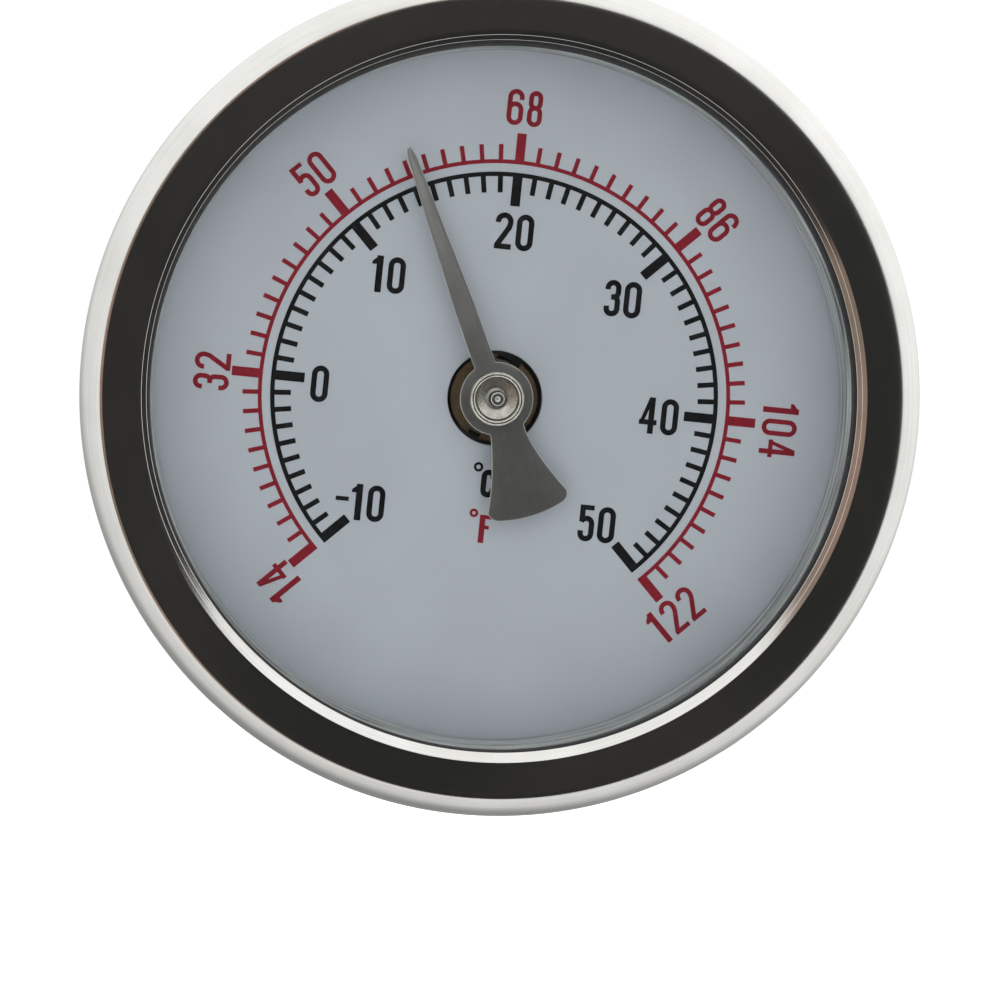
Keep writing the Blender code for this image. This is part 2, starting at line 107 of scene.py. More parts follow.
# Metals: light and dark colour, roughness, length and density of the marks, their depth, scale of the stain
METALS = {
    "case_steel": ((0.55, 0.55, 0.545), (0.485, 0.485, 0.48), (0.24, 0.33), (2.0, 5.0), 0.002, 0.12),
    "stem_steel": ((0.56, 0.56, 0.55), (0.50, 0.50, 0.49), (0.18, 0.26), (2.0, 9.0), 0.002, 0.12),
    "zinc_steel": ((0.54, 0.54, 0.53), (0.44, 0.45, 0.45), (0.30, 0.42), (3.0, 6.0), 0.002, 0.12),
    "spring_steel": ((0.30, 0.30, 0.31), (0.20, 0.20, 0.21), (0.35, 0.5), (2.5, 9.0), 0.0012, 0.12),
    "bush_metal": ((0.54, 0.52, 0.48), (0.36, 0.34, 0.31), (0.13, 0.24), (2.0, 14.0), 0.0015, 1.2),
    "brass": ((0.34, 0.23, 0.14), (0.19, 0.125, 0.08), (0.30, 0.46), (2.0, 12.0), 0.003, 0.9),
    "bimetal": ((0.58, 0.52, 0.43), (0.43, 0.37, 0.29), (0.28, 0.42), (2.0, 8.0), 0.002, 0.8),
}
# Rubber and fibre: light and dark colour, roughness, scale of the grain, its depth
MATTS = {
    "black_rubber": ((0.022, 0.022, 0.023), (0.012, 0.012, 0.012), (0.55, 0.75), 6.0, 0.01),
    "grey_fibre": ((0.34, 0.35, 0.35), (0.22, 0.23, 0.23), (0.75, 0.9), 4.0, 0.02),
}
# Inks: full and worn colour
INKS = {
    "black_ink": ((0.004, 0.004, 0.006), (0.009, 0.009, 0.012)),
    "red_ink": ((0.27, 0.008, 0.022), (0.33, 0.018, 0.036)),
}


def dial_angle(value):
    """Angle on the dial of a Celsius reading."""
    return (value - LOW) * DEGREES_PER_UNIT - SWEEP / 2


POINTER_ANGLE = dial_angle(READING)

# Mesh making


def box_mm(node):
    """Lowest and highest corner of a CAD node, in millimetres."""
    low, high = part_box(node)
    return low / MM, high / MM


def link_object(name, data):
    """A new object in the scene."""
    made = bpy.data.objects.new(name, data)
    bpy.context.scene.collection.objects.link(made)
    return made


def mesh_mm(name, verts, faces):
    """A mesh from places in millimetres."""
    mesh = bpy.data.meshes.new(name)
    mesh.from_pydata([Vector(v) * MM for v in verts], [], faces)
    return mesh


def add_piece(name, verts, faces, finish, body, nodes=(), sharp=SHARP_ANGLE):
    """A closed mesh in millimetres as a piece that rides on a CAD body and stands for its nodes."""
    mesh = mesh_mm(name, verts, faces)
    shape = bmesh.new()
    shape.from_mesh(mesh)
    bmesh.ops.recalc_face_normals(shape, faces=shape.faces)
    shape.to_mesh(mesh)
    shape.free()
    mesh.shade_smooth()
    mesh.set_sharp_from_angle(angle=math.radians(sharp))
    mesh.materials.append(FINISHES[finish])
    piece = link_object(name, mesh)
    if nodes:
        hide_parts(*nodes)
    if body:
        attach(piece, body)
    return piece


def arc(centre, radius, start, end, steps=None):
    """Points along an arc, angles in degrees from +x towards +y."""
    steps = steps or max(2, math.ceil(abs(end - start) / ARC_STEP))
    angles = np.radians(np.linspace(start, end, steps + 1))
    return [(centre[0] + radius * math.cos(a), centre[1] + radius * math.sin(a)) for a in angles]


def rounded(profile, closed=True):
    """The profile with each corner rounded by its fillet radius.

    A point on the flats beside each fillet keeps its shading off them.
    """
    count = len(profile)
    places = [Vector(point[:2]) for point in profile]
    fillets = [point[2] if len(point) > 2 else 0.0 for point in profile]
    if not closed:
        fillets[0] = fillets[-1] = 0.0
    corners = []
    for index, here in enumerate(places):
        back = (places[index - 1] - here).normalized()
        ahead = (places[(index + 1) % count] - here).normalized()
        half = back.angle(ahead) / 2 if fillets[index] else math.pi / 2
        corners.append((back, ahead, half, fillets[index] / math.tan(half)))
    out = []
    for index, here in enumerate(places):
        back, ahead, half, reach = corners[index]
        fillet = fillets[index]
        if not fillet:
            out.append(tuple(here))
            continue
        before, after = index - 1, (index + 1) % count
        free_before = (places[before] - here).length - reach - corners[before][3]
        free_after = (places[after] - here).length - reach - corners[after][3]
        centre = here + (back + ahead).normalized() * (fillet / math.sin(half))
        start, end = here + back * reach - centre, here + ahead * reach - centre
        first = math.degrees(math.atan2(start.y, start.x))
        turn = math.degrees(math.atan2(start.x * end.y - start.y * end.x, start.dot(end)))
        if free_before > FLAT_LEFT:
            out.append(tuple(centre + start + back * SUPPORT * min(fillet, free_before)))
        out += arc(centre, fillet, first, first + turn)
        if free_after > FLAT_LEFT:
            out.append(tuple(centre + end + ahead * SUPPORT * min(fillet, free_after)))
    return out


def revolve(radii, stations, closed=True):
    """Vertices and faces of a turned shape. Each row holds one point of the profile at every angle."""
    rows, steps = radii.shape
    angles = np.arange(steps) * math.tau / steps
    points = np.stack([radii * np.sin(angles), stations, radii * np.cos(angles)], axis=-1)
    faces = []
    for row in range(rows if closed else rows - 1):
        here, there = row * steps, (row + 1) % rows * steps
        for step in range(steps):
            ahead = (step + 1) % steps
            faces.append((here + step, here + ahead, there + ahead, there + step))
    if not closed:
        faces += [tuple(range(steps)), tuple(range((rows - 1) * steps, rows * steps))[::-1]]
    return points.reshape(-1, 3), faces


def loft(count, rows):
    """Faces between rows of vertices, count to a row, and a cap on each end."""
    faces = []
    for row in range(rows - 1):
        for k in range(count):
            a, b = row * count + k, row * count + (k + 1) % count
            faces.append((a, b, b + count, a + count))
    return faces + [tuple(range(count)), tuple(range((rows - 1) * count, rows * count))[::-1]]


def turned(name, profile, finish, body, steps=STEM_STEPS, closed=True):
    """A turned piece for the node of its name. An open profile is closed by flat caps near the axis."""
    line = np.array(rounded(profile, closed))
    radii = np.repeat(line[:, :1], steps, axis=1)
    stations = np.repeat(line[:, 1:], steps, axis=1)
    return add_piece(name, *revolve(radii, stations, closed), finish, body, (name,))


def ring(inner, outer, front, rear, fillet):
    """Profile of a flat ring or a tube."""
    return [(inner, front, fillet), (outer, front, fillet), (outer, rear, fillet), (inner, rear, fillet)]


def clamped(name, profile, finish, play=HEAD_PLAY, closed=True):
    """A turned piece that the bezel clamps, off the case's axis by its play."""
    piece = turned(name, profile, finish, "housing", HEAD_STEPS, closed)
    piece.data.transform(Matrix.Translation(Vector(play) * MM))


def cut(piece, verts, faces):
    """Take a closed shape, in millimetres, out of a piece."""
    tool = link_object("cutter", mesh_mm("cutter", verts, faces))
    modifier = piece.modifiers.new("cut", "BOOLEAN")
    modifier.operation = "DIFFERENCE"
    modifier.object = tool
    graph = bpy.context.evaluated_depsgraph_get()
    result = bpy.data.meshes.new_from_object(piece.evaluated_get(graph))
    piece.modifiers.clear()
    piece.data = result
    result.shade_smooth()
    result.set_sharp_from_angle(angle=math.radians(SHARP_ANGLE))
    bpy.data.objects.remove(tool, do_unlink=True)


def block(low, high):
    """Vertices and faces of a box between two corners."""
    verts = list(itertools.product(*zip(low, high)))
    faces = [(0, 1, 3, 2), (4, 6, 7, 5), (0, 4, 5, 1), (2, 3, 7, 6), (0, 2, 6, 4), (1, 5, 7, 3)]
    return verts, faces


def prism(flat, triangles, front, rear):
    """Closed shape from a flat mesh of (x, z) points between two stations."""
    count = len(flat)
    verts = [(x, front, z) for x, z in flat] + [(x, rear, z) for x, z in flat]
    faces = [tuple(t) for t in triangles] + [tuple(i + count for i in reversed(t)) for t in triangles]
    sides = dict.fromkeys(pair for face in triangles for pair in zip(face, [*face[1:], face[0]]))
    for a, b in sides:
        if (b, a) not in sides:
            faces.append((b, a, a + count, b + count))
    return verts, faces


# Dial print


def stroke(points, width, closed=False):
    """Quads along a path of (x, y) points, mitred where it bends."""
    path = np.array(points, float)
    ahead, back = np.roll(path, -1, axis=0), np.roll(path, 1, axis=0)
    leaving, arriving = ahead - path, path - back
    if not closed:
        leaving[-1], arriving[0] = arriving[-1], leaving[0]
    leaving /= np.linalg.norm(leaving, axis=1)[:, None]
    arriving /= np.linalg.norm(arriving, axis=1)[:, None]
    normal = leaving[:, ::-1] * (-1, 1) + arriving[:, ::-1] * (-1, 1)
    normal /= np.linalg.norm(normal, axis=1)[:, None]
    reach = (normal * (leaving[:, ::-1] * (-1, 1))).sum(axis=1)
    offset = normal * (width / 2 / np.maximum(reach, 0.5))[:, None]
    left, right = path + offset, path - offset
    count = len(path)
    ends = [(k, (k + 1) % count) for k in range(count if closed else count - 1)]
    return [[right[a], right[b], left[b], left[a]] for a, b in ends]


def oval(low, high, half, middle=0.0):
    """Closed path of a tall ring with round ends."""
    top = arc((middle, high - half), half, 0, 180)
    return top + arc((middle, low + half), half, 180, 360)


def character(char, pen):
    """Quads of one character on the grid, and its outer left and right."""
    top, foot = CAP - BLACK_PEN / 2, BLACK_PEN / 2
    quads, right = [], 0.0
    if char == "0":
        quads = stroke([(x + 4.6, y) for x, y in oval(foot, top, 4.6)], pen, closed=True)
        right = 9.2
    elif char == "1":
        quads = stroke([(4.0, 0.0), (4.0, CAP)], 1.2 * pen)
        quads.append([(-1.9, 21.2), (2.4, 21.4), (3.2, CAP), (-1.9, 23.5)])
        right = 4.4
    elif char == "2":
        hook = [(0.0, 20.2)] + arc((4.75, top - 4.75), 4.75, 180, 0)
        quads = stroke(hook + [(9.4, 19.4), (8.6, 16.6), (0.6, 3.2)], pen)
        quads += stroke([(-1.6, foot), (11.4, foot)], pen)
        right = 9.5
    elif char == "3":
        upper = [(0.0, 20.4)] + arc((4.1, top - 4.1), 4.1, 180, 0) + arc((4.6, 18.5), 3.55, 0, -90)
        lower = arc((4.6, 11.4), 3.55, 90, 0) + arc((4.1, foot + 4.1), 4.1, 0, -180)
        quads = stroke(upper + [(2.9, 14.95)], pen) + stroke([(2.9, 14.95)] + lower + [(0.0, 7.9)], pen)
        right = 8.2
    elif char == "4":
        quads = stroke([(7.3, 0.0), (7.3, CAP)], 1.06 * pen)
        quads += stroke([(-1.9, 8.7), (11.8, 8.7)], 0.94 * pen)
        quads.append([(-1.9, 7.2), (1.7, 8.9), (8.4, CAP), (5.0, CAP)])
        right = 9.9
    elif char == "5":
        quads = stroke([(-1.3, 26.2), (9.3, 26.2)], 0.93 * pen)
        quads += stroke([(0.5, CAP), (0.5, 14.9)], pen)
        bowl = arc((4.1, 13.7), 4.1, 165, 0) + arc((4.1, foot + 4.1), 4.1, 0, -180)
        quads += stroke(bowl + [(0.0, 8.2)], pen)
        right = 8.2
    elif char == "6":
        back = [(8.9, 19.8)] + arc((4.45, top - 4.45), 4.45, 0, 180)
        bowl = arc((4.45, foot + 4.45), 4.45, 180, 360) + arc((4.45, 12.0), 4.45, 0, 180)
        quads = stroke(back + bowl, pen)
        right = 8.9
    elif char == "8":
        quads = stroke([(x + 3.8, y) for x, y in oval(14.6, top, 3.55)], pen, closed=True)
        quads += stroke([(x + 3.8, y) for x, y in oval(foot, 14.6, 3.9)], pen, closed=True)
        right = 7.6
    elif char == "-":
        quads = stroke([(-1.9, 15.7), (8.2, 15.7)], 0.8 * pen)
        right = 6.3
    elif char == "C":
        bow = [(6.9, 14.4)] + arc((3.45, SMALL_CAP - foot - 3.45), 3.45, 0, 180)
        quads = stroke(bow + arc((3.45, foot + 3.45), 3.45, 180, 360) + [(6.9, 7.1)], pen)
        right = 6.9
    elif char == "F":
        quads = stroke([(0.2, 0.0), (0.2, SMALL_CAP)], 1.2 * pen)
        quads += stroke([(-1.8, 20.1), (7.9, 20.1)], 0.8 * pen)
        quads += stroke([(0.2, 12.2), (5.6, 12.2)], 0.8 * pen)
        right = 6.0
    return quads, -BLACK_PEN / 2, right + BLACK_PEN / 2


def word(text, pen, centre, turn=0.0):
    """Quads of a word in millimetres on the dial, its middle at centre, turned clockwise by degrees."""
    placed, cursor = [], 0.0
    for char in text:
        quads, left, right = character(char, pen)
        placed += [[(x + cursor - left, y) for x, y in quad] for quad in quads]
        gap = ONE_GAP if char == "1" else DIGIT_GAP
        cursor += right - left + (DIGIT_GAP / 2 if char == "-" else gap)
    width = cursor - gap
    cos, sin = math.cos(math.radians(turn)), math.sin(math.radians(turn))
    out = []
    for quad in placed:
        flat = [((x - width / 2) * GRID, (y - CAP / 2) * GRID) for x, y in quad]
        out.append([(centre[0] + x * cos + z * sin, centre[1] - x * sin + z * cos) for x, z in flat])
    return out


def on_dial(angle, radius, across=0.0):
    """Point at a radius along a dial angle, and across it to its clockwise side."""
    a = math.radians(angle)
    return (radius * math.sin(a) + across * math.cos(a), radius * math.cos(a) - across * math.sin(a))


def scale_quads(scale):
    """The arc of a scale and its ticks, which stand on the arc's near side."""
    inner, outer = scale["arc"]
    middle = (inner + outer) / 2
    overhang = math.degrees(math.asin(scale["major"][1] / 2 / middle))
    start, end = -SWEEP / 2 - overhang, SWEEP / 2 + overhang
    angles = np.linspace(start, end, 361)
    quads = []
    for a, b in zip(angles, angles[1:]):
        quads.append([on_dial(a, inner), on_dial(b, inner), on_dial(b, outer), on_dial(a, outer)])
    for value in range(LOW, HIGH + 1):
        reach, width = scale["major" if value % 10 == 0 else "minor"]
        angle = dial_angle(value)
        half = width / 2
        ends = [(reach, -half), (reach, half), (middle, half), (middle, -half)]
        quads.append([on_dial(angle, radius, across) for radius, across in ends])
    return quads


def print_piece(name, quads, ink):
    """Union of flat quads as one thin layer of ink on the dial's face."""
    points, loops = [], []
    for quad in quads:
        area = sum(a[0] * b[1] - b[0] * a[1] for a, b in zip(quad, [*quad[1:], quad[0]]))
        ordered = quad if area > 0 else quad[::-1]
        loops.append(list(range(len(points), len(points) + len(ordered))))
        points += [Vector((x + PRINT_SHIFT[0], z + PRINT_SHIFT[1])) for x, z in ordered]
    flat, _, triangles, _, _, owners = delaunay_2d_cdt(points, [], loops, 1, 1e-5)
    kept = [tuple(t) for t, owner in zip(triangles, owners) if owner]
    used = sorted({i for t in kept for i in t})
    renumber = {old: new for new, old in enumerate(used)}
    verts, faces = prism(
        [tuple(flat[i]) for i in used], [tuple(renumber[i] for i in t) for t in kept],
        DIAL_FACE - INK_FRONT, DIAL_FACE + INK_ROOT,
    )
    add_piece(name, verts, faces, ink, "housing")


def print_dial():
    """Both scales, their numerals and the two unit signs."""
    print_piece("celsius_scale", scale_quads(BLACK_SCALE), "black_ink")
    print_piece("fahrenheit_scale", scale_quads(RED_SCALE), "red_ink")
    for value, centre in BLACK_NUMERALS.items():
        name = f"celsius_{value}".replace("-", "minus_")
        print_piece(name, word(str(value), BLACK_PEN, centre), "black_ink")
        angle = dial_angle(value)
        fahrenheit = round(value * 1.8 + 32)
        upright = angle if value < HIGH else angle + 180  # the last one is turned to be read from below
        place = Vector(on_dial(angle, RED_NUMERAL_RADIUS)) + Vector(RED_NUDGES[fahrenheit])
        quads = word(str(fahrenheit), RED_PEN, place, upright)
        print_piece(f"fahrenheit_{fahrenheit}", quads, "red_ink")
    for name, letter, pen, ink, centre, sign, size in (
        ("celsius_sign", "C", BLACK_PEN, "black_ink", (0.14, -6.33), (-0.72, -5.45), 2.7),
        ("fahrenheit_sign", "F", RED_PEN, "red_ink", (0.28, -9.85), (-0.72, -9.0), 2.35),
    ):
        quads = word(letter, pen, centre)
        circle = [(sign[0] + x * GRID, sign[1] + y * GRID) for x, y in arc((0, 0), size, 0, 345)]
        quads += stroke(circle, 2.0 * GRID, closed=True)
        print_piece(name, quads, ink)


# Materials


def add(tree, kind, inputs=None, **settings):
    """A shader node with its settings made, and its inputs set or linked."""
    node = tree.nodes.new("ShaderNode" + kind)
    for key, value in settings.items():
        setattr(node, key, value)
    for key, value in (inputs or {}).items():
        if isinstance(value, bpy.types.NodeSocket):
            tree.links.new(value, node.inputs[key])
        else:
            node.inputs[key].default_value = value
    return node


def math_node(tree, operation, *values):
    """The result of a math node on numbers or sockets."""
    return add(tree, "Math", dict(enumerate(values)), operation=operation).outputs[0]


def vector_node(tree, operation, *values, out=0):
    """The result of a vector math node on vectors or sockets."""
    return add(tree, "VectorMath", dict(enumerate(values)), operation=operation).outputs[out]


def ramp(tree, value, low, high, out_low, out_high, smooth=False):
    """Map a value from one range to another, and clamp it."""
    kind = "SMOOTHSTEP" if smooth else "LINEAR"
    inputs = {"Value": value, "From Min": low, "From Max": high, "To Min": out_low, "To Max": out_high}
    return add(tree, "MapRange", inputs, interpolation_type=kind).outputs["Result"]


def mix(tree, share, a, b):
    """Mix two colours, or two sockets of colours, by a share."""
    node = add(tree, "Mix", {0: share}, data_type="RGBA")
    for index, value in ((6, a), (7, b)):
        if isinstance(value, bpy.types.NodeSocket):
            tree.links.new(value, node.inputs[index])
        else:
            node.inputs[index].default_value = (*value, 1.0)
    return node.outputs[2]


def new_material(name, metallic, roughness=None, colour=None):
    """(material, tree, principled shader, position in mm)."""
    made = bpy.data.materials.new(name)
    made.use_nodes = True
    tree = made.node_tree
    shader = tree.nodes["Principled BSDF"]
    shader.inputs["Metallic"].default_value = metallic
    if roughness is not None:
        shader.inputs["Roughness"].default_value = roughness
    if colour:
        shader.inputs["Base Color"].default_value = (*colour, 1.0)
    where = add(tree, "TexCoord").outputs["Object"]
    return made, tree, shader, vector_node(tree, "MULTIPLY", where, (1000.0, 1000.0, 1000.0))


def noise(tree, vector, scale, detail=3.0, rough=0.55):
    """Noise from 0 to 1, with scale features to a millimetre."""
    inputs = {"Vector": vector, "Scale": scale, "Detail": detail, "Roughness": rough}
    return add(tree, "TexNoise", inputs).outputs["Fac"]


def from_axis(tree, where):
    """The place across the stem's axis, and its distance from the axis."""
    flat = vector_node(tree, "MULTIPLY", where, (1.0, 0.0, 1.0))
    return flat, vector_node(tree, "LENGTH", flat, out="Value")


def turning_marks(tree, where, length, density):
    """Noise drawn out along the circles round the stem's axis, and the radius."""
    flat, radius = from_axis(tree, where)
    direction = vector_node(tree, "NORMALIZE", flat)
    parts = add(tree, "SeparateXYZ", {0: where})
    along = add(tree, "CombineXYZ", {1: math_node(tree, "MULTIPLY", parts.outputs[1], density)}).outputs[0]
    place = vector_node(tree, "ADD", vector_node(tree, "MULTIPLY", direction, (length,) * 3), along)
    inputs = {
        "Vector": place, "W": math_node(tree, "MULTIPLY", radius, density),
        "Scale": 1.0, "Detail": 3.0, "Roughness": 0.6,
    }
    return add(tree, "TexNoise", inputs, noise_dimensions="4D").outputs["Fac"], radius


def coat(tree, shader, colour, rough):
    """Link a colour and a roughness to a shader."""
    tree.links.new(colour, shader.inputs["Base Color"])
    tree.links.new(rough, shader.inputs["Roughness"])


def bump(tree, shader, height, distance):
    """Raise the surface by a height from 0 to 1 of a distance in millimetres."""
    node = add(tree, "Bump", {"Height": height, "Distance": distance * MM, "Strength": 1.0})
    tree.links.new(node.outputs["Normal"], shader.inputs["Normal"])


def metal(name, light, dark, rough, marks, depth, stain):
    """Turned or drawn metal: fine marks round the axis, cloudy tarnish and uneven gloss."""
    made, tree, shader, where = new_material(name, 1.0)
    lines, _ = turning_marks(tree, where, *marks)
    cloud = noise(tree, where, stain, 4.0)
    share = ramp(tree, cloud, 0.35, 0.68, 0.0, 1.0)
    lined = math_node(tree, "MULTIPLY_ADD", lines, 0.35, math_node(tree, "MULTIPLY", share, 0.65))
    gloss = math_node(tree, "MULTIPLY_ADD", lines, 0.5, math_node(tree, "MULTIPLY", cloud, 0.5))
    coat(tree, shader, mix(tree, lined, light, dark), ramp(tree, gloss, 0.3, 0.7, *rough))
    bump(tree, shader, lines, depth)
    return made


def bezel_steel():
    """Polished face, satin shoulder and hairline scratches round the axis."""
    made, tree, shader, where = new_material("polished_steel", 1.0)
    lines, radius = turning_marks(tree, where, 2.2, 7.0)
    cloud = noise(tree, where, 0.18, 4.0)
    satin_start, satin_full = 29.4, 30.4
    satin = ramp(tree, radius, satin_start, satin_full, 0.0, 1.0, smooth=True)
    uneven = ramp(tree, cloud, 0.3, 0.7, 0.03, 0.06)
    rough = math_node(tree, "MULTIPLY_ADD", satin, 0.15, uneven)
    rough = math_node(tree, "MULTIPLY_ADD", lines, 0.02, rough)
    tone = ramp(tree, math_node(tree, "MULTIPLY", lines, cloud), 0.15, 0.35, 0.0, 1.0)
    coat(tree, shader, mix(tree, tone, (0.60, 0.595, 0.58), (0.54, 0.535, 0.515)), rough)
    bump(tree, shader, lines, 0.0006)
    return made


def pointer_finish():
    """Dark satin sheet, with a rolled grain along the arm and edges painted bright: bare metal at the cut,
    and a painted highlight where the cut catches the light.
    """
    made, tree, shader, where = new_material("pointer_metal", 1.0)
    turned_back = add(
        tree, "VectorRotate",
        {"Vector": where, "Axis": (0.0, 1.0, 0.0), "Angle": math.radians(-POINTER_ANGLE)},
        rotation_type="AXIS_ANGLE",
    ).outputs[0]
    grain = noise(tree, vector_node(tree, "MULTIPLY", turned_back, (9.0, 9.0, 0.5)), 1.0, 3.0)
    cloud = noise(tree, where, 0.5, 3.0)
    share = math_node(tree, "MULTIPLY_ADD", grain, 0.5, math_node(tree, "MULTIPLY", cloud, 0.5))
    base = mix(tree, ramp(tree, share, 0.35, 0.65, 0.0, 1.0), (0.235, 0.234, 0.228), (0.185, 0.184, 0.179))
    # Painted highlight: wherever the sheet doesn't face front or back it is painted pale, as bare metal and
    # as the light caught along its cut edge.
    normal = add(tree, "NewGeometry").outputs["Normal"]
    facing = vector_node(tree, "DOT_PRODUCT", normal, (0.0, 1.0, 0.0), out="Value")
    edge = ramp(tree, math_node(tree, "ABSOLUTE", facing), 0.6, 0.99, 1.0, 0.0)
    coat(tree, shader, mix(tree, edge, base, (0.80, 0.78, 0.74)), ramp(tree, share, 0.3, 0.7, 0.34, 0.46))
    bump(tree, shader, grain, 0.0012)
    return made


def dial_paint():
    """Pale blue-grey enamel with painted shade in the middle, soft clouds, fine dust specks and a faint
    orange peel.
    """
    made, tree, shader, where = new_material("dial_paint", 0.0)
    cloud = noise(tree, where, 0.09, 3.0, 0.5)
    paint = mix(tree, ramp(tree, cloud, 0.3, 0.7, 0.0, 1.0), (0.60, 0.64, 0.71), (0.55, 0.585, 0.65))
    _, radius = from_axis(tree, where)
    # Painted shade: the middle is painted up to 14% darker, to even out the light that falls brighter there
    # than near the rim.
    middle = ramp(tree, radius, 8.0, 25.0, 0.14, 0.0, smooth=True)
    base = mix(tree, middle, paint, (0.20, 0.23, 0.27))
    specks = noise(tree, where, 7.0, 2.0, 0.6)
    dust = ramp(tree, specks, 0.70, 0.78, 0.0, 0.35)
    coat(tree, shader, mix(tree, dust, base, (0.38, 0.40, 0.42)), ramp(tree, cloud, 0.3, 0.7, 0.42, 0.52))
    bump(tree, shader, noise(tree, where, 1.6, 2.0), 0.002)
    return made


def ink(name, colour, worn):
    """Screen ink with slightly uneven cover."""
    made, tree, shader, where = new_material(name, 0.0)
    cover = ramp(tree, noise(tree, where, 5.0, 3.0), 0.45, 0.75, 0.0, 1.0)
    rough = ramp(tree, noise(tree, where, 1.2), 0.3, 0.7, 0.45, 0.6)
    coat(tree, shader, mix(tree, cover, colour, worn), rough)
    shader.inputs["Specular IOR Level"].default_value = 0.15
    bump(tree, shader, noise(tree, where, 6.0), 0.001)
    return made


def matt(name, light, dark, rough, grain, depth):
    """Rubber or fibre: mottled, with a fine grain."""
    made, tree, shader, where = new_material(name, 0.0)
    mottle = noise(tree, where, 0.6, 4.0)
    fine = noise(tree, where, grain, 3.0, 0.65)
    share = math_node(tree, "MULTIPLY_ADD", fine, 0.5, math_node(tree, "MULTIPLY", mottle, 0.5))
    shade = mix(tree, ramp(tree, share, 0.35, 0.65, 0.0, 1.0), light, dark)
    coat(tree, shader, shade, ramp(tree, fine, 0.3, 0.7, *rough))
    bump(tree, shader, fine, depth)
    return made


def spacer_plastic():
    """Pale moulded plastic with dark and light streaks round its bore."""
    made, tree, shader, where = new_material("spacer_plastic", 0.0)
    streaks, _ = turning_marks(tree, where, 2.4, 3.0)
    share = ramp(tree, streaks, 0.35, 0.65, 0.0, 1.0)
    shade = mix(tree, share, (0.80, 0.82, 0.82), (0.15, 0.16, 0.16))
    coat(tree, shader, shade, ramp(tree, streaks, 0.3, 0.7, 0.30, 0.45))
    bump(tree, shader, streaks, 0.01)
    return made


def glass():
    """Clear instrument glass with faint wipe marks and a green tint in its edge."""
    made, tree, shader, where = new_material("window_glass", 0.0, colour=(0.985, 1.0, 0.992))
    shader.inputs["Transmission Weight"].default_value = 1.0
    shader.inputs["IOR"].default_value = 1.5
    smear = noise(tree, vector_node(tree, "MULTIPLY", where, (0.10, 0.10, 0.16)), 1.0, 5.0, 0.6)
    tree.links.new(ramp(tree, smear, 0.5, 0.8, 0.0, 0.03), shader.inputs["Roughness"])
    return made


def make_finishes():
    """All materials, by the record's slot."""
    made = {
        "polished_steel": bezel_steel(),
        "pointer_metal": pointer_finish(),
        "dial_paint": dial_paint(),
        "spacer_plastic": spacer_plastic(),
        "window_glass": glass(),
    }
    for maker, table in ((metal, METALS), (matt, MATTS), (ink, INKS)):
        made.update({name: maker(name, *values) for name, values in table.items()})
    return made


# Head


def make_bezel():
    """Rolled ring: curled lip, flat face, soft shoulder, wall and crimp."""
    low, high = box_mm("bezel_ring")
    outer, front, rear = high.x, low.y, high.y
    sheet, lip, crimp_inner = 0.5, 26.48, 29.75
    tilt, lip_width = 16.8, 0.76  # slope and width of the lip
    crease, crease_width, crease_tilt = 0.40, 0.022, 28.0  # a narrow steeper band along the lip
    shoulder, ease, ease_angle = 1.8, 8.0, 2.0  # the face eases into the shoulder
    slope, steep = math.tan(math.radians(tilt)), math.tan(math.radians(crease_tilt))
    bend = lip + lip_width
    eased = ease * math.sin(math.radians(ease_angle))
    dropped = ease * (1 - math.cos(math.radians(ease_angle)))
    start = outer - shoulder + shoulder * math.sin(math.radians(ease_angle)) - eased
    corner = (outer - shoulder, front + dropped + shoulder * math.cos(math.radians(ease_angle)))
    crease_front = front + (lip_width - crease) * slope
    crease_rear = crease_front + crease_width * steep
    face = [
        (lip, crease_rear + (crease - crease_width) * slope, 0.035),
        (lip + crease - crease_width, crease_rear, 0.01),
        (lip + crease, crease_front, 0.01),
        (bend, front, 0.12),
    ]
    face += arc((start, front + ease), ease, -90, -90 + ease_angle, 3)
    face += arc(corner, shoulder, -90 + ease_angle, 0, 20)[1:]
    face += [(outer, rear, 0.75), (crimp_inner, rear, 0.12), (crimp_inner, rear - sheet, 0.12)]
    face += [(outer - sheet, rear - sheet, 0.25)]
    face += arc(corner, shoulder - sheet, 0, -90, 16)
    face += [(bend + 0.1, front + sheet), (lip + 0.15, front + sheet + 0.12, 0.1)]
    clamped("bezel_ring", face, "polished_steel")


def make_gaskets():
    """The thin ring in front of the glass, which sits a little low, and the thick one behind it."""
    low, high = box_mm("lens_gasket")
    inner, sag = 26.25, Vector((0.0, 0.0, -0.13))
    flat = ring(inner, high.x, low.y, high.y, 0.12)
    clamped("lens_gasket", flat, "black_rubber", Vector(HEAD_PLAY) + sag)
    low, high = box_mm("case_gasket")
    inner = 28.75
    middle = (low.y + high.y) / 2
    bulged = [
        (inner, low.y, 0.15), (high.x, low.y, 0.3), (high.x, high.y, 0.3),
        (inner, high.y, 0.15), (inner - 0.15, middle, 0.3),
    ]
    clamped("case_gasket", bulged, "black_rubber")


def make_window():
    """Flat pane with ground edges."""
    low, high = box_mm("window_glass")
    bevel = 0.25
    pane = [
        (POLE, low.y), (high.x - bevel, low.y, 0.05), (high.x, low.y + bevel, 0.1),
        (high.x, high.y - bevel, 0.1), (high.x - bevel, high.y, 0.05), (POLE, high.y),
    ]
    clamped("window_glass", pane, "window_glass", closed=False)


